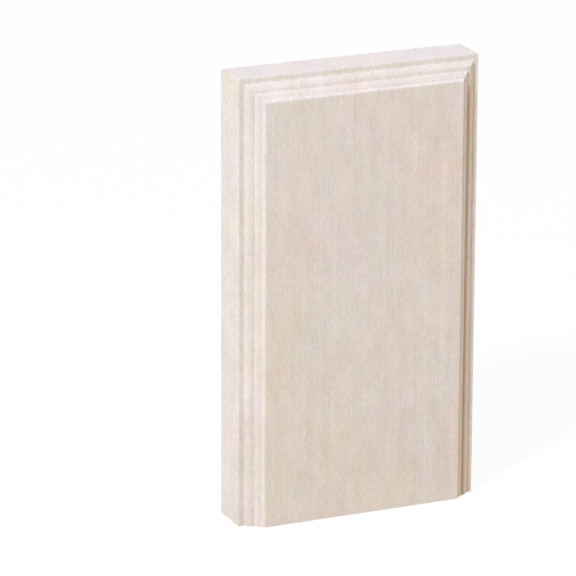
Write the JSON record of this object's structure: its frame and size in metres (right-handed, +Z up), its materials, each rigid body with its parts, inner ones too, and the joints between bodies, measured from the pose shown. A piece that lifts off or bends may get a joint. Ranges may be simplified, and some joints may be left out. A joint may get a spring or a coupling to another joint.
{
  "type": "plinth block",
  "caption": "Wood plinth block with a flat raised panel framed at its top and sides by a mitred moulding; it stands at the floor and ends a door casing.",
  "frame": {"origin": "middle of the bottom face", "axes": "+Z up along the height, +Y into the wall behind the block, so the moulded face looks along -Y"},
  "size_m": [0.1142, 0.0254, 0.2032],
  "materials": {
    "bare_wood": "unfinished, machined and sanded"
  },
  "bodies": {
    "root": {"plinth_block": "bare_wood"}
  },
  "joints": []
}
